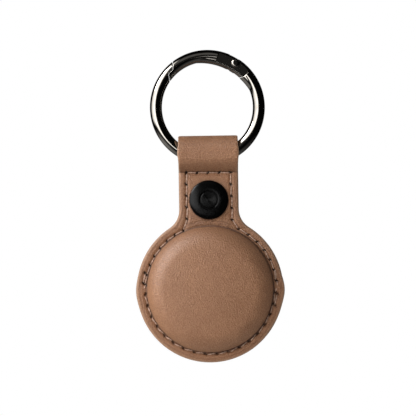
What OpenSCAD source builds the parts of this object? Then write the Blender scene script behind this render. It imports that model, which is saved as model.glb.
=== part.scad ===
// Tracker tag holder: a moulded leather pocket with a snap-closed back flap, hanging from a spring-gate ring.
// Millimetres. The origin is the centre of the ring, +Z points up, and the domed front faces -Y.

/* [Ring] */
// Radius from the ring's centre to the middle of its wire
ring_r = 14.3; // [13.6:0.1:15.4]
// Thickness of the ring's wire
wire_d = 3.4; // [3.2:0.05:3.6]
// How far the wire swells inwards around the gate's hinge
hinge_swell = 0.82; // [0.6:0.02:1]
// How far past the rivet the swell's middle lies
swell_lead = 6; // [4:0.5:8]
// Angle between the swell's middle and each of its ends
swell_half_angle = 44; // [40:1:48]
// Thickness of the swell, a little less than the wire's
swell_d = 3.1; // [3:0.05:3.1]
// Angle of the gate's rivet, counted from three o'clock
rivet_angle = 56.4; // [54:0.2:60]
// How far outside the middle of the wire the rivet sits
rivet_out = 0.2; // [0.1:0.05:0.3]
// Angle at which the ring's outer lip ends over the gate's tip
lip_angle = 128.2; // [124:0.2:131]
// Angle at which the gate's tip ends under the lip
tip_angle = 140.7; // [137:0.2:141.4]
// Gap between the closed gate and the ring
gate_gap = 0.2; // [0.14:0.01:0.26]

/* [Gate hinge] */
// Radius of the gate's rounded tail about the rivet
knuckle_r = 4.05; // [3.8:0.05:4.3]
// Distance between the two flat cheeks of the gate
cheek_w = 2.8; // [2.7:0.05:3]
// How far the flat cheeks reach from the rivet
cheek_reach = 5.4; // [4.8:0.1:6]
// Thickness of the ring's tongue between the cheeks
tongue_t = 1.2; // [1:0.05:1.3]
// Clearance of the tongue on each side
tongue_play = 0.05; // [0.03:0.01:0.08]
// Diameter of the rivet's shank
rivet_d = 1.3; // [1.1:0.05:1.4]
// Diameter of the rivet's domed heads
rivet_head_d = 2.5; // [2.2:0.05:2.8]
// Height of the rivet's domed heads
rivet_head_h = 0.5; // [0.35:0.05:0.7]
// Running clearance on a radius, of the rivet and of the plunger
run_play = 0.05; // [0.03:0.01:0.08]
// Radius of the cam that ends the tongue
cam_r = 2; // [1.95:0.01:2.05]
// Distance of the cam's centre from the rivet
cam_offset = 0.8; // [0.7:0.05:0.82]
// Width of the ring's tongue, as a share of the cam's width
tongue_w_share = 0.8; // [0.7:0.02:0.9]
// How far the ring's tongue leans inwards
tongue_lean = 8; // [5:0.5:11]
// Direction of the plunger, seen from the rivet
plunger_angle = 163; // [160:0.5:165]
// Diameter of the plunger's nose
nose_d = 1.1; // [0.9:0.05:1.15]
// Diameter of the plunger's body
plunger_d = 1.5; // [1.4:0.05:1.55]
// Length of the plunger's body
plunger_l = 1.5; // [1.2:0.1:1.8]
// Distance from the rivet to the start of the plunger's body
plunger_start = 3.5; // [3.3:0.05:3.7]
// Distance from the rivet to the bottom of the spring's bore
bore_end = 8.4; // [8:0.1:8.8]
// Wire of the gate's coil spring
coil_wire = 0.22; // [0.18:0.01:0.26]
// Turns of the gate's coil spring
coil_turns = 6; // [4:1:7]

/* [Leather] */
// Thickness of the leather
leather_t = 1.3; // [1.1:0.05:1.4]
// Width of the neck and of the strap loop
neck_w = 16.55; // [15:0.05:17.4]
// Width of the flange round the dome
flange_w = 2.85; // [2.6:0.05:3.4]
// Distance from the snap down to the dome's upper edge
dome_below_snap = 7.3; // [7:0.1:8.4]
// Radius of the corners where the neck meets the round part
neck_fillet_r = 6; // [4.5:0.1:7]
// Hairline between two layers of one folded piece
layer_gap = 0.04; // [0.02:0.01:0.08]
// Gap where two cut edges meet
butt_gap = 0.1; // [0.06:0.01:0.2]

/* [Pocket] */
// Radius of the tag that the pocket is moulded for
tag_r = 15.95; // [15.8:0.01:16]
// Thickness of the tag
tag_t = 8; // [7:0.1:9]
// Clearance round the tag
tag_play = 0.25; // [0.15:0.01:0.35]
// Clearance over the tag's face
tag_face_play = 0.1; // [0.05:0.01:0.3]
// Radius of the dome's outer shoulder
shoulder_r = 5.8; // [4:0.1:6.2]
// Radius of the slight crown of the dome's face
crown_r = 90; // [60:1:140]

/* [Strap loop] */
// Play between the ring and the top of the loop
ring_play = 0.36; // [0.16:0.02:0.5]
// Half of the loop's inside width, front to back
loop_r = 3; // [2.95:0.05:3.4]
// Distance from the ring's lowest point down to where the two sides meet
pinch_drop = 1.4; // [1.2:0.1:2]
// Height over which the two sides draw together
taper_h = 2.9; // [2.7:0.1:3.1]
// Distance from the socket's flange down to the cut end of the strap's tail
tail_past_socket = 0.55; // [0.35:0.05:0.85]

/* [Back flap] */
// Gap between the closed flap and the leather under it
flap_gap = 0.15; // [0.1:0.01:0.3]
// Gap along the fold
fold_gap = 0.3; // [0.2:0.02:0.5]
// How much narrower than the neck the flap's tongue is
tongue_inset = 1; // [0.6:0.1:1.6]
// Distance from the snap down to where the flap lies flat again
rise_start = 10.8; // [10:0.1:12]
// Height over which the flap rises towards the snap
rise_h = 6.2; // [5.4:0.1:6.2]

/* [Seams] */
// Thickness of the sewing thread
thread_d = 0.36; // [0.3:0.02:0.4]
// Distance of the upper seam from the dome
upper_seam_out = 0.8; // [0.6:0.05:1]
// Distance of the lower seam from the dome
lower_seam_out = 0.45; // [0.4:0.05:0.8]
// Stitch length of the upper seam
upper_pitch = 2.95; // [2.5:0.05:3.4]
// Stitch length of the lower seam
lower_pitch = 3.3; // [2.8:0.05:3.8]
// Leather left between the cap's edge and each side seam
seam_past_cap = 0.775; // [0.6:0.025:1]
// Angle between the fold line and the first hole of each seam
seam_start_angle = 7; // [5:0.5:10]
// Angle at which the round seam turns up into the neck
seam_turn_angle = 66; // [64:0.5:68]
// Length of leather between the needle hole and the stitch's end
hole_inset = 0.3; // [0.2:0.05:0.5]
// Width of the groove that the rear stitches lie in
groove_w = 0.8; // [0.6:0.05:0.9]
// Depth of the groove that the rear stitches lie in
groove_d = 0.4; // [0.4:0.02:0.5]

/* [Snap] */
// Distance from the seam across the neck down to the snap
snap_below_seam = 7.75; // [7.4:0.05:8.2]
// Diameter of the cap on the front
cap_d = 10.7; // [10.3:0.1:11]
// Height of the cap at its edge
cap_edge_h = 0.75; // [0.7:0.05:0.9]
// Height of the cap at the centre disc
cap_h = 1.15; // [1.05:0.05:1.3]
// Diameter of the centre disc
disc_d = 4.7; // [4.2:0.1:5]
// Width and depth of the groove round the centre disc
disc_groove = 0.16; // [0.12:0.02:0.2]
// Sheet thickness of the snap's pressed parts
sheet_t = 0.3; // [0.25:0.01:0.35]
// Diameter of the post that holds the cap and the socket together
post_d = 3.2; // [3:0.05:3.4]
// Wall of the hollow posts
post_wall = 0.4; // [0.35:0.05:0.5]
// How far inside the cap's edge the socket's flange ends
socket_flange_in = 0.6; // [0.5:0.05:0.75]
// Diameter of the socket's cup
socket_d = 8; // [7.6:0.1:8.4]
// Height of the socket's cup above the leather
socket_h = 1.9; // [1.85:0.05:2]
// Diameter of the stud's head
stud_d = 3.9; // [3.8:0.05:4]
// Diameter of the stud's neck
stud_neck_d = 3.3; // [3.2:0.05:3.4]
// Height of the stud's head
stud_head_h = 0.4; // [0.35:0.01:0.42]
// Clearance round the stud in the socket
stud_play = 0.2; // [0.15:0.01:0.25]
// Clearance in front of and behind the stud
stud_end_play = 0.1; // [0.06:0.01:0.14]
// Wire of the socket's ring spring
snap_wire = 0.22; // [0.18:0.01:0.24]
// Diameter of the stud's base
stud_base_d = 8.6; // [8.2:0.1:9]
// Diameter of the post inside the stud
stud_post_d = 2; // [1.8:0.05:2.1]
// Diameter of the round head on the back of the flap
back_head_d = 9.5; // [9:0.1:10]
// Height of the round head on the back of the flap
back_head_h = 0.45; // [0.4:0.05:0.6]

/* [Hidden] */
$fn = 96;

// Overrun of every cut
cut = 1;
wire_r = wire_d / 2;

// Pocket
dome_r = tag_r + tag_play + leather_t;
pocket_r = dome_r - leather_t;
dome_h = tag_t + tag_face_play;
flange_r = dome_r + flange_w;

// Swell at the hinge: a flatter arc of wire that starts and ends inside the ring's own
swell_angle = rivet_angle + swell_lead;
swell_in_r = ring_r - wire_r - hinge_swell + swell_d / 2;
swell_shift = (pow(ring_r, 2) - pow(swell_in_r, 2)) / (2 * (swell_in_r - ring_r * cos(swell_half_angle)));
swell_r = swell_in_r + swell_shift;
swell_sweep = 2 * asin(ring_r * sin(swell_half_angle) / swell_r);

// Gate
rivet_r = ring_r + rivet_out;
rivet_x = rivet_r * cos(rivet_angle);
rivet_z = rivet_r * sin(rivet_angle);
function on_ring(r, angle) = [r * cos(angle), r * sin(angle)];
lip_reach = norm(on_ring(ring_r + wire_r / 2, lip_angle) - [rivet_x, rivet_z]);
tip_reach = norm(on_ring(ring_r - wire_r / 2, tip_angle) - [rivet_x, rivet_z]);
slot_w = tongue_t + 2 * tongue_play;
slot_r = cam_r + cam_offset + 3 * tongue_play;
bore_d = plunger_d + 2 * run_play;
// The cam turns its flank to the plunger, so that opening the gate presses the spring
cam_angle = plunger_angle + 90;
nose_start = sqrt(pow(cam_r, 2) - pow(cam_offset, 2)) + run_play;
coil_start = plunger_start + plunger_l;
coil_r = (plunger_d - coil_wire) / 2 - run_play;
coil_pitch = (bore_end - coil_start - coil_wire - 2 * run_play) / coil_turns;
coil_rings = 10;
coil_sides = 6;
tail_direction = rivet_angle - 90 - tongue_lean;

// Strap loop, round the ring's lowest part
loop_top_in = ring_play - sqrt(pow(ring_r - wire_r, 2) - pow(neck_w / 2, 2));
loop_z = loop_top_in - loop_r;
loop_out_r = loop_r + leather_t;
pinch_z = -ring_r - wire_r - pinch_drop;
taper_l = norm([loop_r, taper_h]);
crease_z = pinch_z - leather_t * loop_r / taper_l
    + leather_t * (1 - taper_h / taper_l) * taper_h / loop_r;

// Down the holder: the seam across the neck, the snap, the strap's tail and the pocket
snap_z = crease_z - snap_below_seam;
socket_flange_r = cap_d / 2 - socket_flange_in;
tail_z = snap_z - socket_flange_r - tail_past_socket;
pocket_z = snap_z - dome_below_snap - dome_r;
far = 2 * flange_r - pocket_z;

// Leather outline: how much of the corners' triangle is kept
corner_x_share = 0.98;
corner_z_share = 0.99;
corner_hair = layer_gap / 8;
fillet_x = neck_w / 2 + neck_fillet_r + corner_hair;
fillet_z = pocket_z + sqrt(pow(flange_r + neck_fillet_r, 2) - pow(fillet_x, 2));

// Snap, front to back
head_y = leather_t + sheet_t;
bead_h = sheet_t;
stud_tip_y = head_y + bead_h + stud_end_play;
stud_neck_y = stud_tip_y + stud_head_h;
socket_y = leather_t + socket_h;
stud_base_y = socket_y + stud_end_play;
flap_snap_y = stud_base_y + sheet_t;
spring_y = stud_neck_y + snap_wire / 2 + run_play;
spring_ring_r = (stud_neck_d + snap_wire) / 2 + run_play;

// Flap
flap_y = leather_t + flap_gap;
rise_z = snap_z - rise_start;
rise_steps = 16;
tongue_r = neck_w / 2 - tongue_inset / 2;

// Seams: needle holes along each seam
upper_seam_r = dome_r + upper_seam_out;
lower_seam_r = dome_r + lower_seam_out;
side_seam_x = cap_d / 2 + seam_past_cap;
function arc_holes(r, from, to, pitch) =
    let (n = round(abs(to - from) * PI / 180 * r / pitch))
    [for (i = [0:n]) on_ring(r, from + (to - from) * i / n) + [0, pocket_z]];
function line_holes(a, b, pitch) =
    let (n = round(norm(b - a) / pitch))
    [for (i = [1:n]) a + (b - a) * i / n];
cross_seam_z = crease_z - thread_d / 2;
neck_seam_low = pocket_z + upper_seam_r * sin(seam_turn_angle) + upper_pitch;
left_arc = arc_holes(upper_seam_r, 180 - seam_start_angle, 180 - seam_turn_angle, upper_pitch);
right_arc = arc_holes(upper_seam_r, seam_turn_angle, seam_start_angle, upper_pitch);
upper_holes = concat(
    left_arc,
    [[-side_seam_x, neck_seam_low]],
    line_holes([-side_seam_x, neck_seam_low], [-side_seam_x, cross_seam_z], upper_pitch),
    line_holes([-side_seam_x, cross_seam_z], [side_seam_x, cross_seam_z], upper_pitch),
    line_holes([side_seam_x, cross_seam_z], [side_seam_x, neck_seam_low], upper_pitch),
    right_arc
);
lower_holes = arc_holes(lower_seam_r, 180 + seam_start_angle, 360 - seam_start_angle, lower_pitch);

// Turns a drawing in X and Y up into X and Z, with its height towards the front
module upright() {
    rotate([90, 0, 0]) children();
}

// A flat layer of leather with its front face at y
module layer(y, thick) {
    translate([0, y + thick, 0]) upright() linear_extrude(thick) children();
}

// Turns a revolved drawing so that its height runs backwards from the front, at the snap
module at_snap() {
    translate([0, 0, snap_z]) rotate([-90, 0, 0]) children();
}

module at_rivet() {
    translate([rivet_x, rivet_z, 0]) children();
}

// The whole closed ring, thicker on its inside around the hinge
module ring_wire() {
    rotate_extrude() translate([ring_r, 0]) circle(d = wire_d);
    rotate([0, 0, swell_angle]) translate([-swell_shift, 0, 0]) rotate([0, 0, -swell_sweep / 2])
        rotate_extrude(angle = swell_sweep) translate([swell_r, 0]) circle(d = swell_d);
}

// The gate's outline: arcs about the rivet, so that it swings inwards past the lip
module gate_outline(grow) {
    at_rivet() circle(r = knuckle_r + grow);
    intersection() {
        union() {
            at_rivet() circle(r = lip_reach + grow);
            intersection() {
                at_rivet() circle(r = tip_reach + grow);
                circle(r = ring_r - gate_gap + grow);
            }
        }
        rotate([0, 0, rivet_angle]) square(far);
    }
}

// Everything on the tail's side of the rivet
module tail_side() {
    rotate([0, 0, rivet_angle]) translate([0, -far]) square(far);
}

module ring_tongue() {
    intersection() {
        ring_wire();
        linear_extrude(tongue_t, center = true) {
            at_rivet() rotate([0, 0, cam_angle]) translate([cam_offset, 0]) circle(r = cam_r);
            at_rivet() rotate([0, 0, tail_direction]) translate([0, -tongue_w_share * cam_r])
                square([knuckle_r + 4 * gate_gap, 2 * tongue_w_share * cam_r]);
        }
    }
}

module ring_body() {
    color("#3a3634") upright() difference() {
        union() {
            difference() {
                ring_wire();
                linear_extrude(2 * wire_d, center = true) gate_outline(gate_gap);
            }
            ring_tongue();
        }
        at_rivet() cylinder(d = rivet_d + 2 * run_play, h = 2 * wire_d, center = true);
    }
}

// Lays a cylinder or a coil along the plunger's line, from the rivet
module along_plunger(start) {
    at_rivet() rotate([0, 0, plunger_angle]) translate([start, 0, 0]) rotate([0, 90, 0]) children();
}

module ring_gate() {
    color("#2b2827") upright() difference() {
        intersection() {
            ring_wire();
            linear_extrude(2 * wire_d, center = true) gate_outline(0);
        }
        for (side = [0, 1]) mirror([0, 0, side]) translate([0, 0, cheek_w / 2])
            at_rivet() cylinder(r = cheek_reach, h = wire_d);
        linear_extrude(slot_w, center = true) {
            at_rivet() circle(r = slot_r);
            tail_side();
        }
        along_plunger(slot_r - run_play) cylinder(d = bore_d, h = bore_end - slot_r + run_play);
        at_rivet() cylinder(d = rivet_d, h = 2 * wire_d, center = true);
    }
}

module rivet_head() {
    head_ball_r = (pow(rivet_head_d / 2, 2) + pow(rivet_head_h, 2)) / (2 * rivet_head_h);
    intersection() {
        translate([0, 0, rivet_head_h - head_ball_r]) sphere(r = head_ball_r);
        cylinder(d = rivet_head_d, h = rivet_head_h);
    }
}

module gate_rivet() {
    color("#8d8580") upright() at_rivet() {
        cylinder(d = rivet_d, h = cheek_w, center = true);
        for (side = [0, 1]) mirror([0, 0, side]) translate([0, 0, cheek_w / 2]) rivet_head();
    }
}

// The nose is rounded where it rubs on the cam
module gate_plunger() {
    color("#b9b2aa") upright() {
        along_plunger(nose_start + nose_d / 2) sphere(d = nose_d);
        along_plunger(nose_start + nose_d / 2)
            cylinder(d = nose_d, h = plunger_start - nose_start);
        along_plunger(plunger_start) cylinder(d = plunger_d, h = plunger_l);
    }
}

// One ring of the coil's tube, at a number of turns from its start
function coil_ring(turn) = let (angle = 360 * turn, height = coil_pitch * turn)
    [for (i = [0:coil_sides - 1]) let (side = 360 * i / coil_sides, r = coil_r + coil_wire / 2 * cos(side))
        [r * cos(angle), r * sin(angle), height + coil_wire / 2 * sin(side)]];

module gate_spring() {
    last = coil_turns * coil_rings;
    points = [for (k = [0:last]) each coil_ring(k / coil_rings)];
    walls = [for (k = [0:last - 1], i = [0:coil_sides - 1])
        let (a = k * coil_sides + i, b = k * coil_sides + (i + 1) % coil_sides)
        each [[a, b, b + coil_sides], [a, b + coil_sides, a + coil_sides]]];
    first_cap = [for (i = [1:coil_sides - 2]) [0, i + 1, i]];
    last_cap = [for (i = [1:coil_sides - 2]) [last * coil_sides, last * coil_sides + i, last * coil_sides + i + 1]];
    color("#c8c2b8") upright() along_plunger(coil_start + run_play + coil_wire / 2)
        polyhedron(points, concat(walls, first_cap, last_cap));
}

// Neck with its rounded corners, which stop a hair short of where their arcs touch the sides
module neck_outline(half_w, top_z) {
    web_x = fillet_x * corner_x_share;
    web_z = pocket_z + (fillet_z - pocket_z) * corner_z_share;
    difference() {
        polygon([[0, pocket_z], [web_x, web_z], [half_w, web_z], [half_w, top_z],
                 [-half_w, top_z], [-half_w, web_z], [-web_x, web_z]]);
        for (side = [-1, 1]) translate([side * fillet_x, fillet_z]) circle(r = neck_fillet_r);
    }
}

// Outline of the holder from the front: the round part and the neck
module holder_outline(top_z) {
    translate([0, pocket_z]) circle(r = flange_r);
    neck_outline(neck_w / 2, top_z);
}

// Half of the dome's cross-section: a wide crown running smoothly into the shoulder
module dome_section(r, h, shoulder, crown) {
    shoulder_z = h - crown + sqrt(pow(crown - shoulder, 2) - pow(r - shoulder, 2));
    meet_x = (r - shoulder) * crown / (crown - shoulder);
    intersection() {
        union() {
            intersection() {
                translate([0, h - crown]) circle(r = crown, $fn = 720);
                square([meet_x, h]);
            }
            translate([r - shoulder, shoulder_z]) circle(r = shoulder);
            square([r, shoulder_z]);
        }
        square([r, h]);
    }
}

module dome(r, h, shoulder, crown) {
    translate([0, 0, pocket_z]) rotate([90, 0, 0]) rotate_extrude() dome_section(r, h, shoulder, crown);
}

// Cross-section of the strap loop, with its two sides drawn together below the ring
module loop_section(r, low, low_half) {
    translate([0, loop_z]) circle(r = r);
    polygon([[-r, loop_z], [r, loop_z], [r, low + taper_h], [low_half, low],
             [-low_half, low], [-r, low + taper_h]]);
}

// Runs a drawing in Y and Z across the neck's width
module across(width) {
    rotate([90, 0, 90]) linear_extrude(width, center = true) children();
}

module front_panel() {
    color("#a57c63") difference() {
        union() {
            layer(-leather_t, leather_t) holder_outline(crease_z);
            dome(dome_r, dome_h, shoulder_r, crown_r);
            across(neck_w) loop_section(loop_out_r, crease_z, leather_t);
            layer(0, leather_t) translate([-neck_w / 2, tail_z]) square([neck_w, crease_z - tail_z]);
        }
        across(neck_w + 2 * cut) loop_section(loop_r, pinch_z, layer_gap / 2);
        across(neck_w + 2 * cut) translate([-layer_gap / 2, tail_z - cut])
            square([layer_gap, pinch_z - tail_z + 2 * cut]);
        dome(pocket_r, dome_h - leather_t, shoulder_r - leather_t, crown_r - leather_t);
        translate([0, 0, pocket_z]) rotate([90, 0, 0]) translate([0, 0, -cut]) cylinder(r = pocket_r, h = 2 * cut);
        at_snap() cylinder(d = post_d + 2 * run_play, h = 4 * leather_t, center = true);
    }
}

// A groove round part of the pocket, cut into a rear face at y
module rear_groove(r, y) {
    translate([0, y - groove_d, pocket_z]) rotate([-90, 0, 0]) rotate([0, 0, 180])
        rotate_extrude(angle = 180) translate([r - groove_w / 2, 0]) square([groove_w, groove_d + cut]);
}

module backing_ring() {
    color("#9a7259") difference() {
        layer(0, leather_t) holder_outline(fillet_z);
        layer(-cut, leather_t + 2 * cut) translate([0, pocket_z]) circle(r = pocket_r);
        layer(-cut, leather_t + 2 * cut) translate([-far / 2, tail_z - butt_gap]) square(far);
        rear_groove(upper_seam_r, leather_t);
    }
}

module back_panel() {
    color("#a57c63") difference() {
        layer(leather_t, leather_t) intersection() {
            translate([0, pocket_z]) circle(r = flange_r);
            translate([-far / 2, pocket_z - fold_gap / 2 - far]) square(far);
        }
        mirror([0, 0, 1]) translate([0, 0, -2 * pocket_z]) rear_groove(lower_seam_r, 2 * leather_t);
    }
}

// How far behind the backing the flap's inner face lies at a share of its rise
function rise_share(s) = s * s * (3 - 2 * s);
function rise_point(s, back) =
    [flap_y + (flap_snap_y - flap_y) * rise_share(s) + back, rise_z + rise_h * s];

// Side view of the flap: flat over the pocket, then rising over the snap
module flap_section() {
    steps = [for (i = [0:rise_steps]) i / rise_steps];
    back_steps = [for (i = [0:rise_steps]) 1 - i / rise_steps];
    polygon(concat(
        [[flap_y, pocket_z + fold_gap / 2]],
        [for (s = steps) rise_point(s, 0)],
        [[flap_snap_y, crease_z], [flap_snap_y + leather_t, crease_z]],
        [for (s = back_steps) rise_point(s, leather_t)],
        [[flap_y + leather_t, pocket_z + fold_gap / 2]]
    ));
}

module flap_outline() {
    translate([0, pocket_z]) circle(r = flange_r);
    neck_outline(tongue_r, snap_z);
    translate([0, snap_z]) circle(r = tongue_r);
}

module back_flap() {
    color("#a57c63") difference() {
        intersection() {
            layer(0, flap_snap_y + 2 * leather_t) flap_outline();
            across(2 * far) flap_section();
        }
        at_snap() cylinder(d = stud_post_d + 2 * run_play, h = far);
    }
}

// A stitch lying on the leather between two needle holes, its middle at y
module stitch(from, to, y) {
    step = to - from;
    length = norm(step) - 2 * hole_inset;
    translate([from[0], y, from[1]]) rotate([0, -atan2(step[1], step[0]), 0])
        translate([hole_inset, 0, 0]) rotate([0, 90, 0]) cylinder(d = thread_d, h = length, $fn = 16);
}

module seam(holes, y) {
    for (i = [1:len(holes) - 1]) stitch(holes[i - 1], holes[i], y);
}

module upper_stitching() {
    color("#b59c86") {
        seam(upper_holes, -leather_t - thread_d / 2);
        for (arc = [left_arc, right_arc]) seam(arc, leather_t - groove_d + thread_d / 2);
    }
}

module lower_stitching() {
    color("#a98b74") {
        seam(lower_holes, -leather_t - thread_d / 2);
        seam(lower_holes, 2 * leather_t - groove_d + thread_d / 2);
    }
}

// Cap pressed round the post's flange, with its lip turned in under it
module snap_cap() {
    lip_in = cap_d / 2 - 4 * sheet_t;
    roof = 2 * sheet_t;
    color("#151414") at_snap() translate([0, 0, -leather_t]) mirror([0, 0, 1]) rotate_extrude() difference() {
        polygon([[0, 0], [cap_d / 2, 0], [cap_d / 2, cap_edge_h - sheet_t], [cap_d / 2 - sheet_t, cap_edge_h],
                 [disc_d / 2 + disc_groove, cap_h], [disc_d / 2 + disc_groove, cap_h - disc_groove],
                 [disc_d / 2, cap_h - disc_groove], [disc_d / 2, cap_h], [0, cap_h - disc_groove / 2]]);
        translate([0, -cut]) square([lip_in, cut + sheet_t]);
        translate([0, sheet_t]) square([lip_in + 2 * sheet_t, roof - sheet_t]);
    }
}

// Hollow post with a flange inside the cap, curled over inside the socket
module cap_post() {
    post_r = post_d / 2;
    bore_r = post_r - post_wall;
    flange_y = -leather_t - 2 * sheet_t;
    color("#8d8884") at_snap() rotate_extrude() {
        translate([bore_r, flange_y]) square([cap_d / 2 - 2 * sheet_t - bore_r, sheet_t]);
        translate([bore_r, flange_y]) square([post_wall, head_y + bead_h - flange_y]);
        translate([bore_r, head_y]) square([2 * post_wall, bead_h]);
    }
}

// Socket riveted to the neck's back, with a groove inside for its ring spring
module snap_socket() {
    inner = stud_d / 2 + stud_play;
    spring_w = 2 * snap_wire;
    color("#8d8884") at_snap() rotate_extrude() difference() {
        union() {
            translate([0, leather_t]) square([socket_flange_r, sheet_t]);
            translate([0, leather_t]) square([socket_d / 2, socket_h]);
        }
        translate([0, leather_t - cut]) square([post_d / 2 + run_play, 2 * cut]);
        translate([0, head_y]) square([inner + post_wall, bead_h + run_play]);
        translate([0, head_y]) square([inner, socket_h]);
        translate([0, spring_y - snap_wire]) square([spring_ring_r + spring_w, spring_w]);
    }
}

module socket_spring() {
    color("#d0cbc4") at_snap() rotate_extrude() translate([spring_ring_r, spring_y]) circle(d = snap_wire);
}

// Hollow stud: its head goes in past the ring spring, which closes on the neck
module snap_stud() {
    neck_r = stud_neck_d / 2;
    hollow_r = neck_r - post_wall / 2;
    color("#8d8884") at_snap() rotate_extrude() difference() {
        union() {
            translate([0, stud_tip_y]) square([stud_d / 2 - stud_head_h / 2, stud_head_h]);
            translate([stud_d / 2 - stud_head_h / 2, stud_tip_y + stud_head_h / 2]) circle(d = stud_head_h);
            translate([0, stud_neck_y]) square([neck_r, stud_base_y - stud_neck_y]);
            translate([0, stud_base_y]) square([stud_base_d / 2, sheet_t]);
        }
        translate([0, stud_neck_y]) square([hollow_r, stud_base_y - stud_neck_y]);
        translate([0, stud_base_y - cut / 2]) square([stud_post_d / 2 + run_play, cut]);
    }
}

module stud_post() {
    post_r = stud_post_d / 2;
    back_y = flap_snap_y + leather_t;
    color("#151414") at_snap() rotate_extrude() {
        translate([0, stud_base_y - bead_h]) square([post_r, back_y - stud_base_y + bead_h]);
        translate([0, stud_base_y - bead_h]) square([post_r + post_wall / 2, bead_h]);
        polygon([[0, back_y], [back_head_d / 2, back_y], [back_head_d / 2, back_y + back_head_h / 2],
                 [back_head_d / 2 - back_head_h, back_y + back_head_h], [0, back_y + back_head_h]]);
    }
}

ring_body();
ring_gate();
gate_rivet();
gate_plunger();
gate_spring();
front_panel();
backing_ring();
back_panel();
back_flap();
upper_stitching();
lower_stitching();
snap_cap();
cap_post();
snap_socket();
socket_spring();
snap_stud();
stud_post();
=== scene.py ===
# %% [markdown]
# # Tracker tag holder
# A moulded leather pocket hangs from a spring-gate ring. Its front is one piece of leather with a round
# dome for the tag, and its strap folds over the ring. A snap on the neck keeps the back flap closed.
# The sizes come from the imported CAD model, which this script loads first and dresses piece by piece.
# The domed front faces -Y, +Z points up, and the origin is the centre of the ring.

import math

import bpy
import numpy as np
from mathutils import Matrix, Vector


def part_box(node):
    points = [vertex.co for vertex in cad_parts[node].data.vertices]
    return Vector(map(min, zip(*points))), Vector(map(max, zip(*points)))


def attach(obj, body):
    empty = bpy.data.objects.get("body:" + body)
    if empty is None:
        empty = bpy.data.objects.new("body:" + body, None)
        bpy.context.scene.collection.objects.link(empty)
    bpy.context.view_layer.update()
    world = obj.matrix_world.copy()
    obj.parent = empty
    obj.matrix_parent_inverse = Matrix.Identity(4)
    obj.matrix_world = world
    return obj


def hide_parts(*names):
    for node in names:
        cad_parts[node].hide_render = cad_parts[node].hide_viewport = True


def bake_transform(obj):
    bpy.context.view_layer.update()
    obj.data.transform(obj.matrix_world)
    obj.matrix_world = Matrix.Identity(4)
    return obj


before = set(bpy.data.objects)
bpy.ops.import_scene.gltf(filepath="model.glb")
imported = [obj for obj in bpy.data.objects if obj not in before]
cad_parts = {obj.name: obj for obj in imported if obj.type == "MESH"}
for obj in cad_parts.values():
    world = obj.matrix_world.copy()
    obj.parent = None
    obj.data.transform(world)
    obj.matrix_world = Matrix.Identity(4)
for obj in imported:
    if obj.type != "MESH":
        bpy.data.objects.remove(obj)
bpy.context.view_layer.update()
MM = 0.001
print("CAD nodes:", ", ".join(sorted(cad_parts)))

# %% [markdown]
# ## The places that everything is measured from
# On the real holder each piece is set out from the pocket's centre, the snap and the fold over the
# ring.
# These could be typed in, but reading them from the CAD nodes keeps the two models together. Only the
# neck's half width, the dome's radius and the foot of the loop are typed, because no box ends there.


# %% Read the main places
def middle(node):
    low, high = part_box(node)
    return (low + high) / 2


ring_low, ring_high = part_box("ring_body")
ring_out_r = ring_high.x / MM
wire_d = (ring_high.y - ring_low.y) / MM
backing_low, backing_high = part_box("backing_ring")
flange_r = backing_high.x / MM
pocket_z = backing_low.z / MM + flange_r
snap_z = middle("snap_cap").z / MM
cap_low, cap_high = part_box("snap_cap")
snap_r = (cap_high.x - cap_low.x) / 2 / MM
leather_t = backing_high.y / MM
back_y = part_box("back_panel")[1].y / MM
fold_z = pocket_z
neck_half = 8.275
dome_r = 17.5
crease_z = -17.95
print("pocket centre", round(pocket_z, 2), "flange", round(flange_r, 2), "snap", round(snap_z, 2), "mm")

# %% [markdown]
# ## Shader sums written as sums
# Materials here are built from node sockets. Each node could be added and linked by hand, but a small
# class that stands for a socket lets the maths be written as ordinary sums, which reads far better.


# %% A value on its way through a material
class Value:
    """A number at one socket of a material. Sums of values add Math nodes."""

    def __init__(self, finish, socket):
        self.finish = finish
        self.socket = socket

    def __add__(self, other):
        return self.finish.maths("ADD", self, other)

    def __radd__(self, other):
        return self.finish.maths("ADD", other, self)

    def __sub__(self, other):
        return self.finish.maths("SUBTRACT", self, other)

    def __rsub__(self, other):
        return self.finish.maths("SUBTRACT", other, self)

    def __mul__(self, other):
        return self.finish.maths("MULTIPLY", self, other)

    def __rmul__(self, other):
        return self.finish.maths("MULTIPLY", other, self)

    def __pow__(self, other):
        return self.finish.maths("POWER", self, other)

    def __abs__(self):
        return self.finish.maths("ABSOLUTE", self)

    def rise(self, low, high):
        """0 below low, 1 above high, and a smooth slope between them."""
        return self.finish.node(
            "ShaderNodeMapRange", {"interpolation_type": "SMOOTHSTEP"},
            {"Value": self, "From Min": low, "From Max": high}, "Result")


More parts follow.
